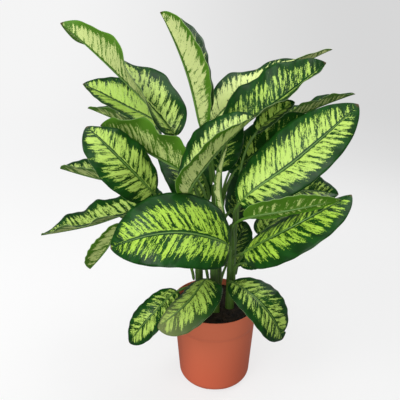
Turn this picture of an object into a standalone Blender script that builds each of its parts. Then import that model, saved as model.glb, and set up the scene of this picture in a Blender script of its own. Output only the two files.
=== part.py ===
"""A potted dieffenbachia: a turned plastic pot, its soil, four canes and their leaves.

Metres, +Z up. The origin is the centre of the pot's foot, on the floor, and -Y is the front.
"""

import math
from typing import NamedTuple

import bmesh
import bpy
import numpy as np

CM = 0.01
GAP = 0.0003

# Pot
POT_HEIGHT = 0.212
RIM_RADIUS = 0.105
BAND_HEIGHT = 0.161
BAND_RADIUS = 0.1004
BAND_STEP = 0.0007
CORNER_HEIGHT = 0.020
WALL_FOOT_RADIUS = 0.0898
WALL = 0.0020
FLOOR_UNDERSIDE = 0.0100
FOOT_WIDTH = 0.0040
PAD_RADIUS = 0.0200
POT_STEPS = 48
CORNER_STEPS = 5
NOTCHES = 4
NOTCH_WIDTH = 0.036
NOTCH_HEIGHT = 0.0085

# Soil
SOIL_TOP = 0.196
SOIL_CROWN = 0.003
CANE_DEPTH = 0.040
HOLE_CLEARANCE = 0.0005
HOLE_SIDES = 24

# Leaves
BLADE_THICKNESS = 0.0012
MIDRIB_DEPTH = 0.0022
STALK_RADIUS = 0.0042
STALK_SEAT = 0.0040
STALK_TAPER = 0.25
STALK_RINGS = 5
BLADE_RINGS = 9
SPLINE_STEPS = 40
SWEEP = 0.35
CURL = -20

GREEN = (0.020, 0.090, 0.015, 1)
STALK_GREEN = (0.16, 0.33, 0.05, 1)
TERRACOTTA = (0.58, 0.13, 0.055, 1)
SOIL_BROWN = (0.012, 0.007, 0.004, 1)

UP = np.array([0.0, 0.0, 1.0])
RING_ACROSS = (-1, -0.5, 0, 0.5, 1, 0.5, 0, -0.5)
RING_SIDE = (0, 1, 1, 1, 0, -1, -1, -1)


class Cane(NamedTuple):
    """A cane: where it stands in the soil, where its top is, and its radius, in centimetres."""

    foot: tuple
    top: tuple
    radius: float


CANES = {
    "front": Cane((0.0, -3.0), (-0.6, -3.0, 40.0), 1.1),
    "right": Cane((3.6, -1.2), (4.0, -1.0, 42.0), 1.1),
    "back": Cane((0.8, 3.8), (0.0, 4.2, 50.0), 1.2),
    "left": Cane((-3.8, 1.4), (-4.2, 1.6, 42.0), 1.0),
}


class Leaf(NamedTuple):
    """A leaf. Places and sizes are in centimetres and angles in degrees.

    joint is the height at which its stalk leaves the cane. The midrib runs from neck through
    middle to tip. half is the width of each half of the blade, right and left as seen from the
    tip, and fold is the angle of each. roll turns the blade about its midrib, at the neck and at
    the tip. widest is where along the blade it is broadest. wave is the height, count and phase
    of the ripples in its margin.
    """

    cane: str
    joint: float
    neck: tuple
    middle: tuple
    tip: tuple
    half: tuple
    roll: tuple
    fold: tuple
    widest: float = 0.42
    wave: tuple = (0.4, 3, 0)


LEAVES = {
    "tall_left": Leaf(
        "back", 46, (-9, 1, 62), (-21, 4, 74.5), (-33.5, 6, 85.5), (8.6, 7.4), (-45, 70), (42, 42), 0.45,
        (0.7, 3, 0.6),
    ),
    "upper_left": Leaf(
        "left", 40, (-11.5, 8, 62), (-22, 11, 67.5), (-31.5, 13, 72), (6.0, 4.5), (-35, -25), (45, 30),
        0.45, (0.3, 2, 0),
    ),
    "upper_left_rear": Leaf(
        "back", 40, (-14, 15, 58), (-24, 17, 62.5), (-32, 18, 65.5), (5.4, 4.8), (0, 15), (42, 42),
    ),
    "wavy_left": Leaf(
        "front", 37.5, (-6.2, -0.4, 53), (-15, 0.4, 58.5), (-25.5, 1, 64.5), (7.5, 8.4), (30, 35),
        (32, 36), 0.45, (0.9, 3, 1),
    ),
    "broad_left": Leaf(
        "left", 34, (-13.5, -6, 51), (-19.5, -9.5, 59.5), (-26.5, -7.5, 66), (6.2, 6.2), (-50, -42),
        (8, 8), 0.5, (0.35, 3, 0),
    ),
    "side_left": Leaf(
        "left", 36, (-19, 3, 50), (-28, 4, 51.5), (-36.5, 5, 53.5), (5.9, 5.9), (0, 8), (40, 42), 0.6,
        (0.3, 2, 0),
    ),
    "low_left": Leaf(
        "front", 28, (-17, -3, 46), (-28, -4, 43), (-40, -3, 40), (6.6, 5.2), (-8, 12), (38, 35), 0.4,
        (0.6, 3, 0),
    ),
    "hanging_left": Leaf(
        "left", 26, (-21, -6, 44), (-24.5, -7, 38.5), (-28.5, -7, 33.5), (4.0, 4.0), (30, 30), (40, 40),
        0.6, (0.2, 2, 0),
    ),
    "tucked_left": Leaf(
        "left", 31, (-11.5, 4.5, 43), (-15.5, 5.5, 46.5), (-19.5, 6.5, 49.5), (2.8, 2.8), (-30, -30),
        (15, 15), 0.5, (0.1, 2, 0),
    ),
    "great_front": Leaf(
        "front", 33, (2.5, -12, 41.5), (-8, -17, 47), (-21.5, -17, 43.5), (8.9, 7.7), (-34, -38), (18, 8),
        0.42, (0.12, 2, 0),
    ),
    "great_right": Leaf(
        "right", 42, (4.5, -9, 50), (15.5, -9.5, 59.5), (27.5, -8, 70.5), (6.2, 7.6), (42, 50), (14, 8),
        0.5, (0.2, 2, 0),
    ),
    "shaded_right": Leaf(
        "back", 44, (4, 5, 52), (13, 9, 58.5), (22, 10, 65), (6.6, 7.0), (35, 30), (15, 15), 0.45,
        (0.3, 2, 0),
    ),
    "upper_right": Leaf(
        "back", 48, (2.5, 1.5, 61.5), (13.5, 3, 69.5), (23.5, 4, 77.5), (6.0, 8.2), (12, 25), (42, 42),
        0.45, (0.5, 3, 0.5),
    ),
    "furled": Leaf(
        "front", 39, (1.5, -6.8, 42), (0.5, -6.8, 54), (2, -6.8, 62), (1.6, 1.6), (0, 0), (60, 60), 0.5,
        (0.05, 2, 0),
    ),
    "pale_centre": Leaf(
        "front", 37, (-6.5, -8.8, 51.4), (-1.5, -9, 59.5), (7.5, -7.5, 68), (6.0, 7.2), (-10, 20),
        (58, 50), 0.42, (0.3, 2, 0),
    ),
    "draped_right": Leaf(
        "right", 36, (5.5, -13.5, 48.6), (13.2, -17, 51.6), (22.6, -19, 54.5), (3.9, 1.6), (-60, -60),
        (10, 10), 0.42, (0.15, 2, 0),
    ),
    "broad_right": Leaf(
        "right", 32, (5.5, -11, 39.5), (15.5, -17, 49), (25.5, -16, 54.5), (6.8, 5.6), (40, 30), (10, -20),
        0.5, (0.12, 2, 0),
    ),
    "rear_right": Leaf(
        "back", 40, (11.5, 3, 47), (20, 5, 48), (29.5, 5, 47), (5.0, 5.0), (35, 35), (25, 25), 0.42,
        (0.4, 3, 0),
    ),
    "front_skirt": Leaf(
        "front", 25, (-2, -7, 31), (-6.5, -13, 28.5), (-13, -15, 23.5), (5.0, 6.8), (0, -10), (-12, 8),
        0.42, (0.1, 2, 0),
    ),
    "left_skirt": Leaf(
        "left", 23, (-9, -5, 26.5), (-14.5, -10, 23.5), (-20, -11, 16.5), (4.0, 4.4), (-15, -20), (15, 15),
        0.5, (0.1, 2, 0),
    ),
    "right_skirt": Leaf(
        "right", 24, (3.5, -8.5, 31), (9, -14, 29.5), (14.5, -15, 20.5), (5.0, 6.0), (10, 15), (8, 8),
        0.55, (0.08, 2, 0),
    ),
    "little_right": Leaf(
        "right", 27, (5.5, -4.5, 33.5), (8.5, -5.5, 34), (11.5, -6, 34.5), (1.6, 1.6), (40, 40), (15, 15),
        0.42, (0.05, 2, 0),
    ),
    "spire": Leaf(
        "back", 50, (-3.5, 0, 64.5), (-6.5, -2, 76.5), (-11.5, -2, 87.5), (7.8, 7.4), (-20, -12), (48, 48),
        0.6, (0.3, 2, 0),
    ),
    "cream_right": Leaf(
        "back", 49.5, (-0.5, 7, 64), (12, 11, 72.5), (26, 9.5, 80), (5.5, 7.4), (45, -50), (10, 40), 0.5,
        (0.6, 3, 0.5),
    ),
    "small_right": Leaf(
        "right", 41.5, (9, 4.5, 62), (13, 4.5, 66), (17.5, 5, 69), (3.4, 3.4), (25, 25), (30, 30), 0.5,
        (0.1, 2, 0),
    ),
    "far_right": Leaf(
        "back", 42, (14, 17, 60), (26, 19, 65.5), (35, 18, 69), (4.4, 4.4), (-10, -10), (42, 42), 0.42,
        (0.4, 3, 0),
    ),
    "back_right": Leaf(
        "back", 38, (5, 17, 51), (10, 24, 53), (16, 31, 47), (5.8, 5.8), (0, 0), (15, 15), 0.42,
        (0.3, 3, 0),
    ),
    "back_left": Leaf(
        "back", 36, (-3.5, 9.5, 42), (-7, 16.5, 51), (-13, 26, 54), (5.5, 8.0), (0, 0), (15, 15), 0.42,
        (0.3, 3, 1),
    ),
    "back_low": Leaf(
        "back", 27, (-4, 14, 35), (-4, 22, 38), (-3, 31, 31), (5.8, 5.8), (0, 0), (15, 15), 0.42,
        (0.3, 3, 2),
    ),
    "low_right_rear": Leaf(
        "right", 28, (11, 6, 36), (18, 11, 39), (27, 17, 34), (5.6, 5.6), (0, 0), (15, 15), 0.42,
        (0.3, 3, 0),
    ),
    "low_left_rear": Leaf(
        "left", 29, (-10, 8, 38), (-17, 13, 41), (-25, 19, 35), (5.6, 5.6), (0, 0), (15, 15), 0.42,
        (0.3, 3, 1),
    ),
    "inner_right": Leaf(
        "back", 31, (5, 8.5, 39), (8.5, 11, 47), (12, 13, 54.5), (6.6, 6.6), (0, 0), (15, 15), 0.42,
        (0.2, 2, 0),
    ),
    "inner_high": Leaf(
        "back", 44, (1, 7.5, 52), (2.5, 9.5, 60), (4.5, 12, 67), (5.4, 5.4), (0, 0), (15, 15), 0.42,
        (0.2, 2, 0),
    ),
    "inner_low": Leaf(
        "back", 22.5, (3, 8, 26), (5.8, 10.2, 32), (8.3, 12, 37), (6.2, 6.2), (0, 0), (15, 15), 0.42,
        (0.2, 2, 0),
    ),
}


def clear_scene():
    for thing in list(bpy.data.objects):
        bpy.data.objects.remove(thing)


def new_collection(name):
    collection = bpy.data.collections.new(name)
    bpy.context.scene.collection.children.link(collection)
    return collection


def new_material(name, colour, roughness):
    material = bpy.data.materials.new(name)
    material.use_nodes = True
    shader = material.node_tree.nodes["Principled BSDF"]
    shader.inputs["Base Color"].default_value = colour
    shader.inputs["Roughness"].default_value = roughness
    shader.inputs["Metallic"].default_value = 0
    material.diffuse_color = colour
    return material


def place(thing, collection, material):
    for old in list(thing.users_collection):
        old.objects.unlink(thing)
    collection.objects.link(thing)
    if material:
        thing.data.materials.append(material)


def turned(name, outline, collection, material):
    """An object turned about Z from (radius, height) points, the outer side top to bottom."""
    mesh = bpy.data.meshes.new(name)
    edges = [(i, i + 1) for i in range(len(outline) - 1)]
    mesh.from_pydata([(radius, 0, height) for radius, height in outline], edges, [])
    thing = bpy.data.objects.new(name, mesh)
    place(thing, collection, material)
    screw = thing.modifiers.new("Turn", "SCREW")
    screw.steps = screw.render_steps = POT_STEPS
    screw.use_merge_vertices = True
    screw.merge_threshold = 0.00001
    return thing


def corner(inset, lowest):
    """The rounded corner between wall and foot, from its top down, inset from the outside."""
    centre = WALL_FOOT_RADIUS - CORNER_HEIGHT
    radius = CORNER_HEIGHT - inset
    points = []
    for step in range(CORNER_STEPS + 1):
        angle = math.pi / 2 * step / CORNER_STEPS
        height = CORNER_HEIGHT - radius * math.sin(angle)
        points.append((centre + radius * math.cos(angle), max(height, lowest)))
    return points


def pot_outline():
    outside = [
        (RIM_RADIUS - WALL, POT_HEIGHT),
        (RIM_RADIUS - 0.0004, POT_HEIGHT),
        (RIM_RADIUS, POT_HEIGHT - 0.0008),
        (BAND_RADIUS, BAND_HEIGHT),
        (BAND_RADIUS - BAND_STEP, BAND_HEIGHT - 0.0005),
    ]
    foot = WALL_FOOT_RADIUS - CORNER_HEIGHT - FOOT_WIDTH
    underside = [(foot, 0), (foot, FLOOR_UNDERSIDE), (PAD_RADIUS, FLOOR_UNDERSIDE), (PAD_RADIUS, 0), (0, 0)]
    inside = [point for point in reversed(corner(WALL, FLOOR_UNDERSIDE + WALL))]
    inside = [(radius, height) for radius, height in inside if height > FLOOR_UNDERSIDE + WALL]
    floor = [(0, FLOOR_UNDERSIDE + WALL), (inside[0][0] - 0.006, FLOOR_UNDERSIDE + WALL)]
    top = [(BAND_RADIUS - BAND_STEP - WALL, BAND_HEIGHT), (RIM_RADIUS - WALL, POT_HEIGHT)]
    return outside + corner(0, 0) + underside + floor + inside + top


def soil_outline():
    inset = WALL + GAP
    floor = FLOOR_UNDERSIDE + inset
    side = [point for point in corner(inset + GAP, floor) if point[1] > floor]
    rise = (SOIL_TOP - BAND_HEIGHT) / (POT_HEIGHT - BAND_HEIGHT)
    lower = BAND_RADIUS - BAND_STEP
    edge = lower + rise * (RIM_RADIUS - lower) - inset - GAP
    crown = [(0, SOIL_TOP + SOIL_CROWN), (edge * 0.6, SOIL_TOP + SOIL_CROWN * 0.7), (edge, SOIL_TOP)]
    return crown + [(lower - inset - GAP, BAND_HEIGHT)] + side + [(side[-1][0] - 0.008, floor), (0, floor)]


def cut(thing, cutters):
    """Cuts each cutter from the thing with its own Boolean."""
    for cutter in cutters:
        boolean = thing.modifiers.new("Cut " + cutter.name, "BOOLEAN")
        boolean.operation = "DIFFERENCE"
        boolean.solver = "EXACT"
        boolean.object = cutter


def as_cutter(thing, name, collection):
    thing.name = name
    place(thing, collection, None)
    thing.hide_render = True
    thing.display_type = "WIRE"
    return thing


def drain_notches(cutters):
    """Boxes across the foot ring, evenly spaced, the first one at the front."""
    found = []
    reach = WALL_FOOT_RADIUS
    for number in range(NOTCHES):
        angle = math.tau * number / NOTCHES - math.pi / 2
        middle = reach * 0.86
        bpy.ops.mesh.primitive_cube_add(
            size=1,
            location=(middle * math.cos(angle), middle * math.sin(angle), 0),
            rotation=(0, 0, angle),
            scale=(reach * 0.6, NOTCH_WIDTH, NOTCH_HEIGHT * 2),
        )
        found.append(as_cutter(bpy.context.object, f"notch_{number}", cutters))
    return found


def cane_holes(cutters):
    """Holes in the soil that leave each cane a thin clearance."""
    found = []
    bottom = SOIL_TOP - CANE_DEPTH - GAP
    height = CANE_DEPTH * 2
    for name, cane in CANES.items():
        bpy.ops.mesh.primitive_cylinder_add(
            vertices=HOLE_SIDES,
            radius=cane.radius * CM + HOLE_CLEARANCE,
            depth=height,
            location=(cane.foot[0] * CM, cane.foot[1] * CM, bottom + height / 2),
        )
        found.append(as_cutter(bpy.context.object, f"hole_{name}", cutters))
    return found


def make_cane(name, cane, collection, material):
    """A cane is a tube, upright where it stands in the soil, then leaning to its top."""
    foot = np.array([*cane.foot, 0]) * CM
    top = np.array(cane.top) * CM
    collar = SOIL_TOP + SOIL_CROWN + 0.004
    points = [foot + UP * (SOIL_TOP - CANE_DEPTH), foot + UP * collar, top]
    curve = bpy.data.curves.new(name, "CURVE")
    curve.dimensions = "3D"
    curve.bevel_depth = cane.radius * CM
    curve.bevel_resolution = 3
    curve.use_fill_caps = True
    spline = curve.splines.new("POLY")
    spline.points.add(len(points) - 1)
    for point, place_at in zip(spline.points, points):
        point.co = (*place_at, 1)
    thing = bpy.data.objects.new(name, curve)
    place(thing, collection, material)
    return thing


def cane_point(cane, height):
    """The middle of a cane at a height above the soil."""
    low = np.array([*cane.foot, (SOIL_TOP + SOIL_CROWN + 0.004) / CM]) * CM
    top = np.array(cane.top) * CM
    return low + (top - low) * (height - low[2]) / (top[2] - low[2])


def unit(vector):
    return vector / np.linalg.norm(vector)


def smooth_line(points):
    """A dense smooth line through the points that starts straight up, with its length so far."""
    spans = [np.linalg.norm(b - a) for a, b in zip(points, points[1:])]
    slopes = [UP]
    for i in range(1, len(points) - 1):
        before = (points[i] - points[i - 1]) / spans[i - 1]
        after = (points[i + 1] - points[i]) / spans[i]
        slopes.append((before * spans[i] + after * spans[i - 1]) / (spans[i - 1] + spans[i]))
    slopes.append(2 * (points[-1] - points[-2]) / spans[-1] - slopes[-1])
    line = [points[0]]
    for i, span in enumerate(spans):
        for u in np.linspace(0, 1, SPLINE_STEPS + 1)[1:]:
            line.append(
                (2 * u**3 - 3 * u**2 + 1) * points[i]
                + (u**3 - 2 * u**2 + u) * slopes[i] * span
                + (3 * u**2 - 2 * u**3) * points[i + 1]
                + (u**3 - u**2) * slopes[i + 1] * span
            )
    line = np.array(line)
    run = np.concatenate([[0], np.cumsum(np.linalg.norm(np.diff(line, axis=0), axis=1))])
    return line, run


def on_line(line, run, distance):
    return np.array([np.interp(distance, run, line[:, axis]) for axis in range(3)])


def blade_width(along, widest):
    """Half width as a share of the greatest, round at the neck and pointed at the tip."""
    if along < widest:
        return (1 - ((widest - along) / widest) ** 2.4) ** 0.60
    return (1 - ((along - widest) / (1 - widest)) ** 2.1) ** 0.86


def blade_offset(leaf, along, across):
    """How far a point of the blade lies from its midrib: sideways, upwards and forwards."""
    half = 0 if across < 0 else 1
    width = leaf.half[half] * CM * blade_width(along, leaf.widest)
    fold = math.radians(leaf.fold[half])
    curl = math.radians(CURL)
    out = abs(across)
    sideways = (math.sin(fold + curl * out) - math.sin(fold)) / curl
    upwards = (math.cos(fold) - math.cos(fold + curl * out)) / curl
    height, count, phase = leaf.wave
    ripple = math.sin(math.tau * count * along + phase + half * 1.7) * math.sqrt(math.sin(math.pi * along))
    ripple *= height * CM * out**3
    return (
        math.copysign(width * sideways, across),
        width * upwards + ripple,
        width * SWEEP * (along - SWEEP) * out,
    )


def leaf_rings(leaf):
    """Eight-point rings from the foot of the stalk to the tip of the blade."""
    cane = CANES[leaf.cane]
    neck, middle, tip = (np.array(point) * CM for point in (leaf.neck, leaf.middle, leaf.tip))
    axis = cane_point(cane, leaf.joint * CM)
    outward = unit((neck - axis) * (1, 1, 0))
    foot = axis + outward * (cane.radius * CM + GAP + STALK_SEAT)
    line, run = smooth_line([foot, neck, middle, tip])
    stalk = run[SPLINE_STEPS]
    blade = run[-1] - stalk
    level = np.cross(UP, unit((tip - neck) * (1, 1, 0)))
    steps = np.linspace(0, 1, BLADE_RINGS)
    shares = 0.02 + 0.97 * (steps - 0.06 * np.sin(math.tau * steps))
    distances = [*np.linspace(0, stalk, STALK_RINGS, endpoint=False), *(stalk + blade * shares)]
    rings = []
    for distance in distances:
        centre = on_line(line, run, distance)
        along = (distance - stalk) / blade
        ahead = unit(on_line(line, run, distance + 0.001) - on_line(line, run, max(distance - 0.001, 0)))
        ahead = UP if distance == 0 else ahead
        across = unit(level - ahead * (ahead @ level))
        above = np.cross(ahead, across)
        if along < 0:
            turn = math.radians(leaf.roll[0]) * (distance / stalk) ** 2
        else:
            turn = math.radians(leaf.roll[0] + (leaf.roll[1] - leaf.roll[0]) * along)
        across, above = (
            across * math.cos(turn) + above * math.sin(turn),
            above * math.cos(turn) - across * math.sin(turn),
        )
        if along < 0:
            radius = STALK_RADIUS * (1 - STALK_TAPER * distance / stalk)
            angles = math.pi - np.arange(8) * math.tau / 8
            rings.append([centre + radius * (across * math.cos(a) + above * math.sin(a)) for a in angles])
            continue
        ring = []
        for position, side in zip(RING_ACROSS, RING_SIDE):
            sideways, upwards, forwards = blade_offset(leaf, along, position)
            upwards += side * BLADE_THICKNESS / 2
            if side < 0 and position == 0:
                upwards -= MIDRIB_DEPTH * (1 - along)
            ring.append(centre + across * sideways + above * upwards + ahead * forwards)
        rings.append(ring)
    return rings


def loft(name, rings, collection, material):
    """A closed solid through rings. Both skins are split along the same diagonals, so they can't cross."""
    shape = bmesh.new()
    circles = [[shape.verts.new(point) for point in ring] for ring in rings]
    for lower, upper in zip(circles, circles[1:]):
        for i in range(len(lower)):
            j = (i + 1) % len(lower)
            if abs(RING_ACROSS[i]) < abs(RING_ACROSS[j]):
                shape.faces.new((lower[i], lower[j], upper[j]))
                shape.faces.new((lower[i], upper[j], upper[i]))
            else:
                shape.faces.new((lower[i], lower[j], upper[i]))
                shape.faces.new((lower[j], upper[j], upper[i]))
    shape.faces.new(circles[0][::-1])
    shape.faces.new(circles[-1])
    bmesh.ops.recalc_face_normals(shape, faces=shape.faces)
    mesh = bpy.data.meshes.new(name)
    shape.to_mesh(mesh)
    shape.free()
    thing = bpy.data.objects.new(name, mesh)
    place(thing, collection, material)
    mesh.shade_smooth()
    return thing


def main():
    clear_scene()
    plant = new_collection("potted_dieffenbachia")
    cutters = new_collection("cutters")
    plastic = new_material("pot_plastic", TERRACOTTA, 0.55)
    earth = new_material("potting_soil", SOIL_BROWN, 0.95)
    cane_skin = new_material("cane_skin", STALK_GREEN, 0.5)
    leaf_skin = new_material("leaf_skin", GREEN, 0.4)
    pot = turned("pot", pot_outline(), plant, plastic)
    cut(pot, drain_notches(cutters))
    soil = turned("soil", soil_outline(), plant, earth)
    cut(soil, cane_holes(cutters))
    for name, cane in CANES.items():
        make_cane(f"cane_{name}", cane, plant, cane_skin)
    for name, leaf in LEAVES.items():
        loft(f"leaf_{name}", leaf_rings(leaf), plant, leaf_skin)


main()
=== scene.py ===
"""Potted dieffenbachia: finished pot, soil, canes and variegated leaves, set on a plain pale floor."""

import math
from typing import NamedTuple

import bmesh
import bpy
import numpy as np
from bpy.props import FloatProperty, FloatVectorProperty, IntProperty, PointerProperty
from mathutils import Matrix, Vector, noise


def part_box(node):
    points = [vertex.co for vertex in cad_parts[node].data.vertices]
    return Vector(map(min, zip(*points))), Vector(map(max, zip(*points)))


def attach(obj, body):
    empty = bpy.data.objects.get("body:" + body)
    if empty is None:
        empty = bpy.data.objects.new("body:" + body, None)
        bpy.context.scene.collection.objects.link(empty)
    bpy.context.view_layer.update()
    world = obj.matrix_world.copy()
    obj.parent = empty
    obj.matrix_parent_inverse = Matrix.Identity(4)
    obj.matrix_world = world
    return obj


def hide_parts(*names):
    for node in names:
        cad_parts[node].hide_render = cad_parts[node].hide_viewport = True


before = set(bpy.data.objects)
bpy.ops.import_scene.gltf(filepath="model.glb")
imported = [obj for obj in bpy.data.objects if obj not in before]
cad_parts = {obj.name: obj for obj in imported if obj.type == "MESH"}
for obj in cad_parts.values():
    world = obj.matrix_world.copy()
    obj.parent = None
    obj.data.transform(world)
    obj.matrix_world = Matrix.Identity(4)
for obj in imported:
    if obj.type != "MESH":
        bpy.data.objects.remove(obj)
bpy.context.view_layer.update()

bl_info = {
    "name": "Potted dieffenbachia",
    "version": (1, 0, 0),
    "blender": (4, 5, 0),
    "location": "3D View > Sidebar > Plant",
    "description": "Builds a potted dieffenbachia: pot, soil, canes and leaves",
    "category": "Add Mesh",
}

CM = 0.01
UP = np.array([0.0, 0.0, 1.0])

# The pot and the soil, measured from the frame
POT_LOW, POT_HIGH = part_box("pot")
SOIL_LOW, SOIL_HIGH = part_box("soil")
POT_HEIGHT = POT_HIGH.z
RIM_RADIUS = POT_HIGH.x
BAND_HEIGHT = POT_HEIGHT * 0.76
BAND_RADIUS = RIM_RADIUS * 0.956
BAND_STEP = 0.0007
CORNER_HEIGHT = 0.020
WALL_FOOT_RADIUS = RIM_RADIUS * 0.855
WALL = 0.002
FLOOR_UNDERSIDE = 0.010
FOOT_WIDTH = 0.004
PAD_RADIUS = 0.020
NOTCHES = 4
NOTCH_WIDTH = 0.036
NOTCH_HEIGHT = 0.0085
LIP = 0.0009
EDGE_ROUNDING = 0.0004
CORNER_STEPS = 10
SPLIT_ANGLE = 38
SOIL_EDGE_TOP = SOIL_HIGH.z - 0.003
SOIL_CROWN = 0.0022
SOIL_LUMP = 0.0016
SOIL_DEPTH = 0.03
SOIL_RINGS = 70
SOIL_SIDES = 180
CRUMBS = 260

# The canes, which begin to lean just above the soil
LEAN_START = SOIL_HIGH.z + 0.004
CANE_DEPTH = 0.02
CANE_RINGS = 90
CANE_SIDES = 28
CANE_TAPER = 0.12
CANE_CAP = 0.03
SCAR_SPACING = 2.6
SCAR_WIDTH = 0.22
SCAR_HEIGHT = 0.0006

# The leaves' mesh
SPLINE_STEPS = 40
BLADE_ROWS = 110
FIRST_ROW = 0.004
ROW_CROWDING = 0.06
HALF_COLUMNS = 13
COLUMN_CROWDING = 0.9
STALK_RINGS = 22
STALK_SIDES = 12

# The leaves' shape: NECK_ROUNDING and TIP_ROUNDING are the two powers of each end's outline
SWEEP = 0.35
CURL = -20
NECK_ROUNDING = (2.4, 0.60)
TIP_ROUNDING = (2.1, 0.86)
LEAST_WIDTH = 0.0004
BITE_LENGTH = 0.014
VEIN_SLANT = 0.55
HALF_SHIFT = 1.7
FINE_RIPPLES = 8.3
FINE_RIPPLE_HEIGHT = 0.0010
GROOVE_DEPTH = 0.0012
GROOVE_WIDTH = 0.0025
STALK_SEAT = 0.0043
STALK_RADIUS = 0.0040
STALK_TAPER = 0.0010
MIDRIB_RADIUS = 0.0030
MIDRIB_END_RADIUS = 0.0003
MIDRIB_END = 0.93
MIDRIB_DROP = 0.55
CLASP_WIDTH = 0.0022
CLASP_LENGTH = 0.025

# Leaf materials: how the streaks vary across and along the side veins and from leaf to leaf
BROAD_STREAKS = (1.30, 0.26, 1)
FINE_STREAKS = (4.2, 1.0, 3)
SPECKLES = (8.0, 4.5, 5)
LEAF_SPECULAR = 0.18


class Cane(NamedTuple):
    """A cane: where it stands in the soil, where its top is, and its radius, in centimetres."""

    foot: tuple
    top: tuple
    radius: float


CANES = {
    "front": Cane((0.0, -3.0), (-0.6, -3.0, 40.0), 1.1),
    "right": Cane((3.6, -1.2), (4.0, -1.0, 42.0), 1.1),
    "back": Cane((0.8, 3.8), (0.0, 4.2, 50.0), 1.2),
    "left": Cane((-3.8, 1.4), (-4.2, 1.6, 42.0), 1.0),
}


class Leaf(NamedTuple):
    """A leaf. Places and sizes are in centimetres and angles in degrees.

    joint is the height at which its stalk leaves the cane. The midrib runs from neck through
    middle to tip. half is the width of each half of the blade, right and left as seen from the
    tip, and fold is the angle of each. roll turns the blade about its midrib, at the neck and at
    the tip. widest is where along the blade it is broadest. wave is the height, count and phase
    of the ripples in its margin.

    cream is how far its light streaks go from lime to cream, light is how much of the blade they
    cover, and age is how yellow it has turned. bite is a torn place in the margin: which half,
    how far along, and how deep.
    """

    cane: str
    joint: float
    neck: tuple
    middle: tuple
    tip: tuple
    half: tuple
    roll: tuple
    fold: tuple
    widest: float = 0.42
    wave: tuple = (0.4, 3, 0)
    cream: float = 0.2
    light: float = 0.5
    age: float = 0.0
    bite: tuple = ()


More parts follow.
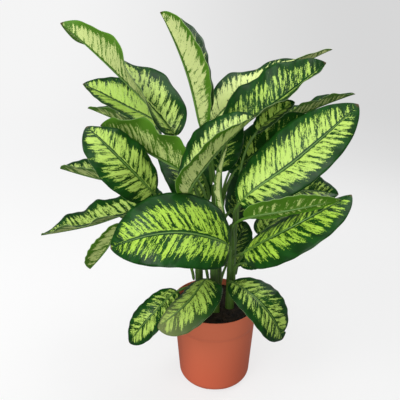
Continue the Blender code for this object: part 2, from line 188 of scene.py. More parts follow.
LEAVES = {
    "tall_left": Leaf(
        "back", 46, (-9, 1, 62), (-21, 4, 74.5), (-33.5, 6, 85.5), (8.6, 7.4), (-45, 70), (42, 42), 0.45,
        (0.7, 3, 0.6), cream=0.4, light=0.55,
    ),
    "upper_left": Leaf(
        "left", 40, (-11.5, 8, 62), (-22, 11, 67.5), (-31.5, 13, 72), (6.0, 4.5), (-35, -25), (45, 30),
        0.45, (0.3, 2, 0), cream=0.15, light=0.72,
    ),
    "upper_left_rear": Leaf(
        "back", 40, (-14, 15, 58), (-24, 17, 62.5), (-32, 18, 65.5), (5.4, 4.8), (0, 15), (42, 42),
        cream=0.3, light=0.35,
    ),
    "wavy_left": Leaf(
        "front", 37.5, (-6.2, -0.4, 53), (-15, 0.4, 58.5), (-25.5, 1, 64.5), (7.5, 8.4), (30, 35),
        (32, 36), 0.45, (0.9, 3, 1), cream=0.1, light=0.35,
    ),
    "broad_left": Leaf(
        "left", 34, (-13.5, -6, 51), (-19.5, -9.5, 59.5), (-26.5, -7.5, 66), (6.2, 6.2), (-50, -42),
        (8, 8), 0.5, (0.35, 3, 0), cream=0.2, light=0.56,
    ),
    "side_left": Leaf(
        "left", 36, (-19, 3, 50), (-28, 4, 51.5), (-36.5, 5, 53.5), (5.9, 5.9), (0, 8), (40, 42), 0.6,
        (0.3, 2, 0), cream=0.4, light=0.45,
    ),
    "low_left": Leaf(
        "front", 28, (-17, -3, 46), (-28, -4, 43), (-40, -3, 40), (6.6, 5.2), (-8, 12), (38, 35), 0.4,
        (0.6, 3, 0), cream=0.3, light=0.5,
    ),
    "hanging_left": Leaf(
        "left", 26, (-21, -6, 44), (-24.5, -7, 38.5), (-28.5, -7, 33.5), (4.0, 4.0), (30, 30), (40, 40),
        0.6, (0.2, 2, 0), light=0.4,
    ),
    "tucked_left": Leaf(
        "left", 31, (-11.5, 4.5, 43), (-15.5, 5.5, 46.5), (-19.5, 6.5, 49.5), (2.8, 2.8), (-30, -30),
        (15, 15), 0.5, (0.1, 2, 0), light=0.1,
    ),
    "great_front": Leaf(
        "front", 33, (2.5, -12, 41.5), (-8, -17, 47), (-21.5, -17, 43.5), (8.9, 7.7), (-34, -38), (18, 8),
        0.42, (0.12, 2, 0), cream=0.0, light=0.46,
    ),
    "great_right": Leaf(
        "right", 42, (4.5, -9, 50), (15.5, -9.5, 59.5), (27.5, -8, 70.5), (6.2, 7.6), (42, 50), (14, 8),
        0.5, (0.2, 2, 0), cream=0.2, light=0.56,
    ),
    "shaded_right": Leaf(
        "back", 44, (4, 5, 52), (13, 9, 58.5), (22, 10, 65), (6.6, 7.0), (35, 30), (15, 15), 0.45,
        (0.3, 2, 0), light=0.15,
    ),
    "upper_right": Leaf(
        "back", 48, (2.5, 1.5, 61.5), (13.5, 3, 69.5), (23.5, 4, 77.5), (6.0, 8.2), (12, 25), (42, 42),
        0.45, (0.5, 3, 0.5), light=0.34,
    ),
    "furled": Leaf(
        "front", 39, (1.5, -6.8, 42), (0.5, -6.8, 54), (2, -6.8, 62), (1.6, 1.6), (0, 0), (60, 60), 0.5,
        (0.05, 2, 0), cream=0.8, light=0.85,
    ),
    "pale_centre": Leaf(
        "front", 37, (-6.5, -8.8, 51.4), (-1.5, -9, 59.5), (7.5, -7.5, 68), (6.0, 7.2), (-10, 20),
        (58, 50), 0.42, (0.3, 2, 0), cream=0.5, light=0.55,
    ),
    "draped_right": Leaf(
        "right", 36, (5.5, -13.5, 48.6), (13.2, -17, 51.6), (22.6, -19, 54.5), (3.9, 1.6), (-60, -60),
        (10, 10), 0.42, (0.15, 2, 0), light=0.02,
    ),
    "broad_right": Leaf(
        "right", 32, (5.5, -11, 39.5), (15.5, -17, 49), (25.5, -16, 54.5), (6.8, 5.6), (40, 30), (10, -20),
        0.5, (0.12, 2, 0), cream=0.0, light=0.38,
    ),
    "rear_right": Leaf(
        "back", 40, (11.5, 3, 47), (20, 5, 48), (29.5, 5, 47), (5.0, 5.0), (35, 35), (25, 25), 0.42,
        (0.4, 3, 0), light=0.25,
    ),
    "front_skirt": Leaf(
        "front", 25, (-2, -7, 31), (-6.5, -13, 28.5), (-13, -15, 23.5), (5.0, 6.8), (0, -10), (-12, 8),
        0.42, (0.1, 2, 0), cream=0.15, light=0.52, age=0.7,
    ),
    "left_skirt": Leaf(
        "left", 23, (-9, -5, 26.5), (-14.5, -10, 23.5), (-20, -11, 16.5), (4.0, 4.4), (-15, -20), (15, 15),
        0.5, (0.1, 2, 0), light=0.4,
    ),
    "right_skirt": Leaf(
        "right", 24, (3.5, -8.5, 31), (9, -14, 29.5), (14.5, -15, 20.5), (5.0, 6.0), (10, 15), (8, 8),
        0.55, (0.08, 2, 0), light=0.38, bite=(1, 0.93, 0.4),
    ),
    "little_right": Leaf(
        "right", 27, (5.5, -4.5, 33.5), (8.5, -5.5, 34), (11.5, -6, 34.5), (1.6, 1.6), (40, 40), (15, 15),
        0.42, (0.05, 2, 0), light=0.3,
    ),
    "spire": Leaf(
        "back", 50, (-3.5, 0, 64.5), (-6.5, -2, 76.5), (-11.5, -2, 87.5), (7.8, 7.4), (-20, -12), (48, 48),
        0.6, (0.3, 2, 0), cream=0.65, light=0.64,
    ),
    "cream_right": Leaf(
        "back", 49.5, (-0.5, 7, 64), (12, 11, 72.5), (26, 9.5, 80), (5.5, 7.4), (45, -50), (10, 40), 0.5,
        (0.6, 3, 0.5), cream=0.75, light=0.85,
    ),
    "small_right": Leaf(
        "right", 41.5, (9, 4.5, 62), (13, 4.5, 66), (17.5, 5, 69), (3.4, 3.4), (25, 25), (30, 30), 0.5,
        (0.1, 2, 0), light=0.45,
    ),
    "far_right": Leaf(
        "back", 42, (14, 17, 60), (26, 19, 65.5), (35, 18, 69), (4.4, 4.4), (-10, -10), (42, 42), 0.42,
        (0.4, 3, 0), light=0.3,
    ),
    "back_right": Leaf(
        "back", 38, (5, 17, 51), (10, 24, 53), (16, 31, 47), (5.8, 5.8), (0, 0), (15, 15), 0.42,
        (0.3, 3, 0), light=0.6,
    ),
    "back_left": Leaf(
        "back", 36, (-3.5, 9.5, 42), (-7, 16.5, 51), (-13, 26, 54), (5.5, 8.0), (0, 0), (15, 15), 0.42,
        (0.3, 3, 1), light=0.3,
    ),
    "back_low": Leaf(
        "back", 27, (-4, 14, 35), (-4, 22, 38), (-3, 31, 31), (5.8, 5.8), (0, 0), (15, 15), 0.42,
        (0.3, 3, 2), light=0.6,
    ),
    "low_right_rear": Leaf(
        "right", 28, (11, 6, 36), (18, 11, 39), (27, 17, 34), (5.6, 5.6), (0, 0), (15, 15), 0.42,
        (0.3, 3, 0), light=0.5,
    ),
    "low_left_rear": Leaf(
        "left", 29, (-10, 8, 38), (-17, 13, 41), (-25, 19, 35), (5.6, 5.6), (0, 0), (15, 15), 0.42,
        (0.3, 3, 1), light=0.5,
    ),
    # The inner leaves stand in the plant's dark centre. Their small light share is painted shade: it keeps
    # them darker, as the leaves around them shade them.
    "inner_right": Leaf(
        "back", 31, (5, 8.5, 39), (8.5, 11, 47), (12, 13, 54.5), (6.6, 6.6), (0, 0), (15, 15), 0.42,
        (0.2, 2, 0), light=0.1,
    ),
    "inner_high": Leaf(
        "back", 44, (1, 7.5, 52), (2.5, 9.5, 60), (4.5, 12, 67), (5.4, 5.4), (0, 0), (15, 15), 0.42,
        (0.2, 2, 0), light=0.1,
    ),
    "inner_low": Leaf(
        "back", 22.5, (3, 8, 26), (5.8, 10.2, 32), (8.3, 12, 37), (6.2, 6.2), (0, 0), (15, 15), 0.42,
        (0.2, 2, 0), light=0.2,
    ),
}


# ---------------------------------------------------------------- settings


class LeafSettings(bpy.types.PropertyGroup):
    """Sizes and colours of the leaves."""

    dark: FloatVectorProperty(
        name="Dark green", description="The margin and midrib", subtype="COLOR", size=3,
        default=(0.004, 0.034, 0.003),
    )
    mid: FloatVectorProperty(
        name="Mid green", description="Between dark and light", subtype="COLOR", size=3,
        default=(0.05, 0.17, 0.008),
    )
    lime: FloatVectorProperty(
        name="Lime", description="The streaks of most leaves", subtype="COLOR", size=3,
        default=(0.42, 0.66, 0.07),
    )
    cream: FloatVectorProperty(
        name="Cream", description="The streaks of the palest leaves", subtype="COLOR", size=3,
        default=(0.80, 0.88, 0.38),
    )
    under: FloatVectorProperty(
        name="Underside", description="The underside's green", subtype="COLOR", size=3,
        default=(0.09, 0.24, 0.015),
    )
    under_light: FloatVectorProperty(
        name="Underside streaks", description="The underside's pale streaks", subtype="COLOR", size=3,
        default=(0.54, 0.68, 0.20),
    )
    # painted highlight: the thin pale colour of the blades' rims stands in for light caught by their edges
    edge: FloatVectorProperty(
        name="Edge", description="The thin pale edge", subtype="COLOR", size=3, default=(0.36, 0.50, 0.20),
    )
    stalk: FloatVectorProperty(
        name="Stalk", description="Stalks and midribs", subtype="COLOR", size=3, default=(0.12, 0.26, 0.035),
    )
    aged: FloatVectorProperty(
        name="Aged", description="What an old leaf turns to", subtype="COLOR", size=3,
        default=(0.42, 0.46, 0.18),
    )
    dry: FloatVectorProperty(
        name="Dry tip", description="The dried point of a leaf", subtype="COLOR", size=3,
        default=(0.085, 0.055, 0.025),
    )
    thickness: FloatProperty(
        name="Thickness", description="Thickness of a blade", unit="LENGTH", default=0.0008, min=0.0003,
        max=0.003,
    )
    relief: FloatProperty(
        name="Vein relief", description="How far the blade rises between side veins", unit="LENGTH",
        default=0.0006, min=0, max=0.003,
    )
    vein_spacing: FloatProperty(
        name="Vein spacing", description="Distance between side veins", unit="LENGTH", default=0.013,
        min=0.004, max=0.05,
    )


class PotSettings(bpy.types.PropertyGroup):
    """Finish of the pot."""

    colour: FloatVectorProperty(
        name="Terracotta", description="The plastic's colour", subtype="COLOR", size=3,
        default=(0.80, 0.180, 0.088),
    )
    steps: IntProperty(name="Steps", description="Facets around the pot", default=160, min=24, max=400)


class StageSettings(bpy.types.PropertyGroup):
    """Strength of the lights."""

    key_watts: FloatProperty(name="Key light", description="Power of the key light", default=34, min=0)
    fill: FloatProperty(name="Sky", description="Strength of the even light", default=0.26, min=0)


# ---------------------------------------------------------------- node helpers


class Paint:
    """A material with short calls for its nodes."""

    def __init__(self, name, roughness=0.5, specular=0.5):
        self.material = bpy.data.materials.new(name)
        self.material.use_nodes = True
        self.tree = self.material.node_tree
        self.shader = self.tree.nodes["Principled BSDF"]
        self.shader.inputs["Roughness"].default_value = roughness
        self.shader.inputs["Specular IOR Level"].default_value = specular

    def node(self, kind, **settings):
        """Adds a node of this kind with these settings."""
        made = self.tree.nodes.new("ShaderNode" + kind)
        for key, value in settings.items():
            setattr(made, key, value)
        return made

    def link(self, source, target):
        self.tree.links.new(source, target)

    def value(self, socket, source):
        """Feeds a socket from another socket, or sets it to a plain value."""
        if isinstance(source, bpy.types.NodeSocket):
            self.link(source, socket)
        elif isinstance(source, tuple) and len(source) == 3 and socket.type == "RGBA":
            socket.default_value = (*source, 1)
        else:
            socket.default_value = source

    def math(self, operation, *inputs):
        """A sum done on sockets or plain values."""
        made = self.node("Math", operation=operation)
        for socket, source in zip(made.inputs, inputs):
            self.value(socket, source)
        return made.outputs[0]

    def ramp(self, source, low, high, first=0.0, last=1.0):
        """Goes smoothly from first to last as the source goes from low to high."""
        made = self.node("MapRange", interpolation_type="SMOOTHSTEP")
        for socket, given in zip(made.inputs, (source, low, high, first, last)):
            self.value(socket, given)
        return made.outputs[0]

    def mix(self, share, first, second):
        """A colour that share turns from the first to the second."""
        made = self.node("Mix", data_type="RGBA")
        self.value(made.inputs[0], share)
        self.value(made.inputs[6], first)
        self.value(made.inputs[7], second)
        return made.outputs[2]

    def attribute(self, name):
        """A vector kept with the mesh, whole and as its three parts."""
        made = self.node("Attribute", attribute_name=name)
        parts = self.node("SeparateXYZ")
        self.link(made.outputs["Vector"], parts.inputs[0])
        return made.outputs["Vector"], parts.outputs

    def scaled(self, vector, scale):
        """The vector with each axis multiplied."""
        made = self.node("VectorMath", operation="MULTIPLY")
        self.link(vector, made.inputs[0])
        made.inputs[1].default_value = scale
        return made.outputs[0]

    def noise(self, vector, scale=1.0, detail=2.0, roughness=0.5):
        """Cloudy noise from 0 to 1."""
        made = self.node("TexNoise")
        self.link(vector, made.inputs["Vector"])
        made.inputs["Scale"].default_value = scale
        made.inputs["Detail"].default_value = detail
        made.inputs["Roughness"].default_value = roughness
        return made.outputs["Fac"]

    def bump(self, height, strength, distance):
        """Gives the surface small relief."""
        made = self.node("Bump")
        made.inputs["Strength"].default_value = strength
        made.inputs["Distance"].default_value = distance
        self.link(height, made.inputs["Height"])
        self.link(made.outputs["Normal"], self.shader.inputs["Normal"])

    def colour(self, source):
        """Sets the surface's colour."""
        self.value(self.shader.inputs["Base Color"], source)


def streaks(paint):
    """How light the blade is at each point, its grain, its swelling between side veins, and place.

    streak holds the place across the side veins and along them, in centimetres, and the leaf's
    own number. place holds how far along the blade and how far from the midrib, from 0 to 1,
    and how much of the blade is light. The blade is light where the first output is over 0.5.
    """
    streak, parts = paint.attribute("streak")
    _, place = paint.attribute("place")
    along, out, light = place[0], place[1], place[2]
    broad = paint.noise(paint.scaled(streak, BROAD_STREAKS))
    fine = paint.noise(paint.scaled(streak, FINE_STREAKS), detail=2.5, roughness=0.6)
    speck = paint.noise(paint.scaled(streak, SPECKLES), detail=1.5)
    phase = paint.math("MULTIPLY_ADD", broad, 7.0, paint.math("MULTIPLY", parts[0], 5.0))
    band = paint.math("SINE", phase)
    total = paint.math("MULTIPLY_ADD", broad, 1.0, -0.70)
    total = paint.math("MULTIPLY_ADD", fine, 0.80, total)
    total = paint.math("MULTIPLY_ADD", speck, 0.60, total)
    grain = paint.math("MULTIPLY_ADD", band, 0.06, total)
    total = paint.math("MULTIPLY_ADD", light, 0.42, paint.math("SUBTRACT", grain, 0.15))
    for term in (
        paint.ramp(out, 0.03, 0.075, -0.60, 0.0),
        paint.ramp(out, 0.50, 1.05, 0.0, -0.50),
        paint.ramp(along, 0.0, 0.12, -0.15, 0.0),
        paint.ramp(along, 0.82, 1.0, 0.0, -0.25),
    ):
        total = paint.math("ADD", total, term)
    swell = paint.math("ABSOLUTE", paint.math("SINE", paint.math("MULTIPLY", parts[0], 2.4)))
    return total, grain, swell, place


def leaf_top(settings):
    """Dark green with crisp lime to cream streaks along the side veins, and a slight gloss."""
    paint = Paint("leaf_upper_side", specular=LEAF_SPECULAR)
    total, grain, swell, place = streaks(paint)
    streak, _ = paint.attribute("streak")
    _, tone = paint.attribute("tone")
    dark, mid, lime = tuple(settings.dark), tuple(settings.mid), tuple(settings.lime)
    shade = paint.noise(paint.scaled(streak, (0.5, 0.3, 1)))
    deep = paint.mix(paint.ramp(shade, 0.3, 0.7), dark, tuple(c * 2.0 for c in dark))
    pale = paint.mix(tone[0], lime, tuple(settings.cream))
    pale = paint.mix(paint.ramp(total, 0.5, 0.66), paint.mix(0.40, pale, mid), pale)
    green = paint.mix(paint.ramp(total, 0.42, 0.5), deep, paint.mix(0.55, deep, mid))
    skin = paint.mix(paint.ramp(total, 0.49, 0.515), green, pale)
    faded = paint.mix(0.6, skin, tuple(settings.aged))
    ageing = paint.math("MULTIPLY", tone[1], paint.ramp(place[0], 0.35, 1.0))
    skin = paint.mix(ageing, skin, faded)
    paint.colour(paint.mix(paint.ramp(place[0], 0.975, 0.995), skin, tuple(settings.dry)))
    gloss = paint.noise(paint.scaled(streak, (9, 5, 1)), detail=3)
    paint.value(paint.shader.inputs["Roughness"], paint.ramp(gloss, 0.3, 0.7, 0.28, 0.42))
    paint.bump(paint.math("MULTIPLY_ADD", swell, 0.5, grain), 0.3, 0.0008)
    return paint.material


def leaf_under(settings):
    """Paler and softer than the upper side, with the same streaks showing through."""
    paint = Paint("leaf_underside", specular=LEAF_SPECULAR)
    total, grain, swell, place = streaks(paint)
    _, tone = paint.attribute("tone")
    under = tuple(settings.under)
    light = paint.ramp(total, 0.43, 0.56)
    pale = paint.mix(tone[0], tuple(settings.under_light), tuple(settings.cream))
    base = paint.mix(paint.ramp(place[1], 0.4, 1.0), tuple(c * 0.8 for c in under), under)
    skin = paint.mix(light, base, pale)
    paint.colour(paint.mix(paint.ramp(place[0], 0.975, 0.995), skin, tuple(settings.dry)))
    paint.bump(paint.math("MULTIPLY_ADD", swell, -0.5, grain), 0.3, 0.0008)
    return paint.material


def leaf_edge_highlight(settings):
    """Painted highlight: the pale line around a blade, standing in for the light its edge catches."""
    paint = Paint("leaf_edge_highlight", 0.45)
    streak, _ = paint.attribute("streak")
    shade = paint.noise(streak)
    paint.colour(paint.mix(shade, tuple(settings.edge), tuple(c * 0.6 for c in settings.edge)))
    return paint.material


def stalk_skin(name, settings, dark=0.55):
    """Pale green skin with faint lengthwise streaks, used on stalks, midribs and canes."""
    paint = Paint(name, 0.42)
    where = paint.node("TexCoord").outputs["Object"]
    streak = paint.noise(paint.scaled(where, (260, 260, 22)), detail=3)
    broad = paint.noise(paint.scaled(where, (30, 30, 9)))
    shade = paint.math("MULTIPLY_ADD", streak, 0.5, paint.math("MULTIPLY", broad, 0.5))
    base = tuple(settings.stalk)
    paint.colour(paint.mix(paint.ramp(shade, 0.35, 0.65), tuple(c * dark for c in base), base))
    paint.bump(streak, 0.2, 0.0005)
    return paint.material


# ---------------------------------------------------------------- mesh helpers


def unit(vector):
    """The vector at length 1."""
    return vector / np.linalg.norm(vector)


def add_object(name, mesh, materials):
    """Adds an object with these materials to the scene."""
    thing = bpy.data.objects.new(name, mesh)
    bpy.context.scene.collection.objects.link(thing)
    for material in materials:
        mesh.materials.append(material)
    return thing


def add_mesh(name, points, faces, materials):
    """Adds a smooth object made of these points and faces."""
    mesh = bpy.data.meshes.new(name)
    mesh.from_pydata([tuple(point) for point in points], [], faces)
    thing = add_object(name, mesh, materials)
    mesh.shade_smooth()
    mesh.update()
    return thing


def tube_faces(rings, sides):
    """The faces of a closed tube whose points go round ring by ring from its foot."""
    faces = []
    for ring in range(rings - 1):
        low = ring * sides
        for i in range(sides):
            j = (i + 1) % sides
            faces.append((low + i, low + j, low + sides + j, low + sides + i))
    faces.append(tuple(range(sides))[::-1])
    faces.append(tuple((rings - 1) * sides + i for i in range(sides)))
    return faces


def store(mesh, name, rows):
    """Keeps one vector for each point of the mesh, for the materials to read."""
    attribute = mesh.attributes.new(name, "FLOAT_VECTOR", "POINT")
    attribute.data.foreach_set("vector", np.asarray(rows, np.float32).ravel())


def finish_piece(thing, node):
    """Ties a piece to the body and hides the frame's node it stands for."""
    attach(thing, "root")
    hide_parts(node)


def smooth_line(points):
    """A dense smooth line through the points that starts straight up, with its length so far."""
    spans = [np.linalg.norm(b - a) for a, b in zip(points, points[1:])]
    slopes = [UP]
    for i in range(1, len(points) - 1):
        before = (points[i] - points[i - 1]) / spans[i - 1]
        after = (points[i + 1] - points[i]) / spans[i]
        slopes.append((before * spans[i] + after * spans[i - 1]) / (spans[i - 1] + spans[i]))
    slopes.append(2 * (points[-1] - points[-2]) / spans[-1] - slopes[-1])
    line = [points[0]]
    for i, span in enumerate(spans):
        for u in np.linspace(0, 1, SPLINE_STEPS + 1)[1:]:
            line.append(
                (2 * u**3 - 3 * u**2 + 1) * points[i]
                + (u**3 - 2 * u**2 + u) * slopes[i] * span
                + (3 * u**2 - 2 * u**3) * points[i + 1]
                + (u**3 - u**2) * slopes[i + 1] * span
            )
    line = np.array(line)
    run = np.concatenate([[0], np.cumsum(np.linalg.norm(np.diff(line, axis=0), axis=1))])
    return line, run


def on_line(line, run, distance):
    """The point at that distance along the line."""
    return np.array([np.interp(distance, run, line[:, axis]) for axis in range(3)])


# ---------------------------------------------------------------- leaves


class LeafForm:
    """Works out a leaf's midrib, its blade and its stalk."""

    def __init__(self, leaf, settings):
        self.leaf = leaf
        self.settings = settings
        cane = CANES[leaf.cane]
        neck, middle, tip = (np.array(point) * CM for point in (leaf.neck, leaf.middle, leaf.tip))
        axis = cane_point(cane, leaf.joint * CM)
        outward = unit((neck - axis) * (1, 1, 0))
        foot = axis + outward * (cane.radius * CM + STALK_SEAT)
        self.line, self.run = smooth_line([foot, neck, middle, tip])
        self.stalk = self.run[SPLINE_STEPS]
        self.blade = self.run[-1] - self.stalk
        self.level = np.cross(UP, unit((tip - neck) * (1, 1, 0)))

    def frame(self, distance):
        """Centre of the midrib or stalk there, with the directions ahead, across and above."""
        leaf = self.leaf
        centre = on_line(self.line, self.run, distance)
        later = on_line(self.line, self.run, distance + 0.001)
        ahead = unit(later - on_line(self.line, self.run, max(distance - 0.001, 0)))
        if distance >= self.run[-1] - 0.0005:
            ahead = unit(self.line[-1] - self.line[-3])
        across = unit(self.level - ahead * (ahead @ self.level))
        above = np.cross(ahead, across)
        along = (distance - self.stalk) / self.blade
        if along < 0:
            turn = math.radians(leaf.roll[0]) * (distance / self.stalk) ** 2
        else:
            turn = math.radians(leaf.roll[0] + (leaf.roll[1] - leaf.roll[0]) * along)
        return (
            centre,
            ahead,
            across * math.cos(turn) + above * math.sin(turn),
            above * math.cos(turn) - across * math.sin(turn),
        )

    def width(self, along, half):
        """Width of one half of the blade, round at the neck and pointed at the tip."""
        widest = self.leaf.widest
        if along < widest:
            inner, outer = NECK_ROUNDING
            share = (1 - ((widest - along) / widest) ** inner) ** outer
        else:
            inner, outer = TIP_ROUNDING
            share = (1 - ((along - widest) / (1 - widest)) ** inner) ** outer
        if self.leaf.bite and self.leaf.bite[0] == half:
            _, place, depth = self.leaf.bite
            share *= 1 - depth * math.exp(-(((along - place) / BITE_LENGTH) ** 2))
        return max(self.leaf.half[half] * CM * share, LEAST_WIDTH)

    def offset(self, along, across):
        """How far a point of the blade lies from its midrib: sideways, upwards and forwards."""
        leaf = self.leaf
        half = 0 if across < 0 else 1
        width = self.width(along, half)
        fold = math.radians(leaf.fold[half])
        curl = math.radians(CURL)
        out = abs(across)
        sideways = (math.sin(fold + curl * out) - math.sin(fold)) / curl
        upwards = (math.cos(fold) - math.cos(fold + curl * out)) / curl
        height, count, phase = leaf.wave
        bell = math.sqrt(max(math.sin(math.pi * along), 0))
        ripple = math.sin(math.tau * count * along + phase + half * HALF_SHIFT) * bell * height * CM * out**3
        fine = math.sin(math.tau * FINE_RIPPLES * along + phase * 5 + half)
        ripple += fine * bell * FINE_RIPPLE_HEIGHT * out**4
        place = along * self.blade - out * width * VEIN_SLANT
        swell = math.sin(math.pi * place / self.settings.vein_spacing) ** 2
        relief = self.settings.relief * (swell - 0.5) * bell * math.sin(math.pi * min(out * 1.15, 1))
        groove = -GROOVE_DEPTH * math.exp(-((out * width / GROOVE_WIDTH) ** 2)) * (1 - along)
        return (
            math.copysign(width * sideways, across),
            width * upwards + ripple + relief + groove,
            width * SWEEP * (along - SWEEP) * out,
        )


def build_leaf(name, leaf, number, settings, materials):
    """The blade, with what its materials read kept at each point, and then the stalk."""
    form = LeafForm(leaf, settings)
    across = np.linspace(0, 1, HALF_COLUMNS) ** COLUMN_CROWDING
    across = np.concatenate([-across[:0:-1], across])
    columns = len(across)
    points, streak, place, tone = [], [], [], []
    steps = np.linspace(0, 1, BLADE_ROWS)
    shares = FIRST_ROW + (1 - FIRST_ROW) * (steps - ROW_CROWDING * np.sin(math.tau * steps))
    for along in shares:
        centre, ahead, side, above = form.frame(form.stalk + form.blade * along)
        for position in across:
            width = form.width(along, 0 if position < 0 else 1)
            sideways, upwards, forwards = form.offset(along, position)
            points.append(centre + side * sideways + above * upwards + ahead * forwards)
            out = abs(position) * width
            vein = along * form.blade - out * VEIN_SLANT
            streak.append((vein / CM, out / CM + (9 if position < 0 else 0), number * 3.7))
            place.append((along, abs(position), leaf.light))
            tone.append((leaf.cream, leaf.age, 0))
    faces = []
    for row in range(BLADE_ROWS - 1):
        for column in range(columns - 1):
            first = row * columns + column
            faces.append((first, first + columns, first + columns + 1, first + 1))
    blade = add_mesh(f"blade_{name}", points, faces, materials)
    for key, rows in (("streak", streak), ("place", place), ("tone", tone)):
        store(blade.data, key, rows)
    skin = blade.modifiers.new("Thickness", "SOLIDIFY")
    skin.thickness = settings.thickness
    skin.offset = -1
    skin.material_offset = 1
    # the rims take the painted edge highlight
    skin.material_offset_rim = 2
    finish_piece(blade, f"leaf_{name}")
    build_stalk(name, form, materials[3])


def build_stalk(name, form, material):
    """The stalk, wide where it clasps the cane, which runs on under the blade as its midrib."""
    reach = form.stalk + form.blade * MIDRIB_END
    points = []
    for distance in reach * np.linspace(0, 1, STALK_RINGS):
        centre, _, side, above = form.frame(distance)
        radius = STALK_RADIUS - STALK_TAPER * min(distance / form.stalk, 1)
        along = (distance - form.stalk) / form.blade
        drop = 0.0
        if along > 0:
            radius = MIDRIB_RADIUS * (1 - along) ** 0.8 + MIDRIB_END_RADIUS
            drop = radius * MIDRIB_DROP
        clasp = CLASP_WIDTH * math.exp(-distance / CLASP_LENGTH)
        for i in range(STALK_SIDES):
            angle = math.tau * i / STALK_SIDES
            wide = (radius + clasp) * math.cos(angle)
            tall = radius * math.sin(angle)
            points.append(centre + side * wide + above * (tall - drop))
    faces = tube_faces(STALK_RINGS, STALK_SIDES)
    stalk = add_mesh(f"stalk_{name}", points, faces, [material])
    stalk.modifiers.new("Smooth", "SUBSURF").levels = 1
    finish_piece(stalk, f"leaf_{name}")


# ---------------------------------------------------------------- canes


def cane_point(cane, height):
    """The middle of a cane at a height above the floor."""
    low = np.array([*cane.foot, LEAN_START / CM]) * CM
    top = np.array(cane.top) * CM
    return low + (top - low) * (height - low[2]) / (top[2] - low[2])


def build_cane(name, cane, material):
    """A cane with rings where old leaves grew, closing to a rounded top."""
    low = np.array([*cane.foot, 0]) * CM + UP * (SOIL_HIGH.z - CANE_DEPTH)
    top = cane.top[2] * CM
    points = []
    for ring in range(CANE_RINGS + 1):
        share = ring / CANE_RINGS
        height = low[2] + (top - low[2]) * share
        centre = cane_point(cane, height) if height > LEAN_START else np.array([*low[:2], height])
        above_scar = (height / CM + cane.radius * 7) % SCAR_SPACING - SCAR_SPACING / 2
        scar = SCAR_HEIGHT * math.exp(-((above_scar / SCAR_WIDTH) ** 2))
        cap = math.sqrt(max(1 - max((share - 1 + CANE_CAP) / CANE_CAP, 0) ** 2, 0.0))
        radius = (cane.radius * CM * (1 - CANE_TAPER * share) + scar) * max(cap, 0.02)
        for i in range(CANE_SIDES):
            angle = math.tau * i / CANE_SIDES
            points.append(centre + radius * np.array([math.cos(angle), math.sin(angle), 0]))
    faces = tube_faces(CANE_RINGS + 1, CANE_SIDES)
    thing = add_mesh(f"cane_{name}_skin", points, faces, [material])
    finish_piece(thing, f"cane_{name}")


# ---------------------------------------------------------------- pot and soil


def corner(inset, lowest):
    """The rounded corner between wall and foot, from its top down, inset from the outside."""
    centre = WALL_FOOT_RADIUS - CORNER_HEIGHT
    radius = CORNER_HEIGHT - inset
    points = []
    for step in range(CORNER_STEPS + 1):
        angle = math.pi / 2 * step / CORNER_STEPS
        height = max(CORNER_HEIGHT - radius * math.sin(angle), lowest)
        points.append((centre + radius * math.cos(angle), height))
    return points


def pot_outline():
    """Half of the pot's section: outer side top to bottom, then back up inside."""
    outside = [
        (RIM_RADIUS - WALL, POT_HEIGHT - LIP * 0.4),
        (RIM_RADIUS - WALL + LIP * 0.5, POT_HEIGHT),
        (RIM_RADIUS - LIP * 0.5, POT_HEIGHT),
        (RIM_RADIUS, POT_HEIGHT - LIP * 0.6),
        (RIM_RADIUS - EDGE_ROUNDING, POT_HEIGHT - 0.006),
        (BAND_RADIUS + EDGE_ROUNDING, BAND_HEIGHT + 0.004),
        (BAND_RADIUS, BAND_HEIGHT + 0.0006),
        (BAND_RADIUS - BAND_STEP * 0.4, BAND_HEIGHT),
        (BAND_RADIUS - BAND_STEP, BAND_HEIGHT - 0.0005),
        (BAND_RADIUS - BAND_STEP - 0.0006, BAND_HEIGHT - 0.008),
    ]
    foot = WALL_FOOT_RADIUS - CORNER_HEIGHT - FOOT_WIDTH
    floor = FLOOR_UNDERSIDE + WALL
    pad = [(PAD_RADIUS, FLOOR_UNDERSIDE), (PAD_RADIUS, 0), (0, 0)]
    underside = [(foot, 0), (foot, FLOOR_UNDERSIDE), *pad, (0, floor)]
    inside = [point for point in reversed(corner(WALL, floor)) if point[1] > floor]
    floor_edge = (inside[0][0] - 0.006, floor)
    top = [(BAND_RADIUS - BAND_STEP - WALL, BAND_HEIGHT), outside[0]]
    return outside + corner(0, 0) + underside + [floor_edge] + inside + top


def terracotta_plastic(settings):
    """Orange plastic, a little paler towards the rim, with a faint grain."""
    paint = Paint("terracotta_plastic", specular=0.18)
    where = paint.node("TexCoord").outputs["Object"]
    cloud = paint.noise(paint.scaled(where, (9, 9, 7)), detail=3)
    grain = paint.noise(where, scale=900, detail=2)
    parts = paint.node("SeparateXYZ")
    paint.link(where, parts.inputs[0])
    height = paint.ramp(parts.outputs[2], 0.0, POT_HEIGHT)
    base = tuple(settings.colour)
    low = tuple(c * k for c, k in zip(base, (0.90, 0.80, 0.78)))
    high = tuple(min(c * k, 1) for c, k in zip(base, (1.04, 1.16, 1.2)))
    colour = paint.mix(height, low, high)
    paint.colour(paint.mix(paint.ramp(cloud, 0.3, 0.7), colour, paint.mix(0.12, colour, high)))
    paint.value(paint.shader.inputs["Roughness"], paint.ramp(grain, 0.3, 0.7, 0.44, 0.56))
    paint.bump(grain, 0.08, 0.0003)
    return paint.material


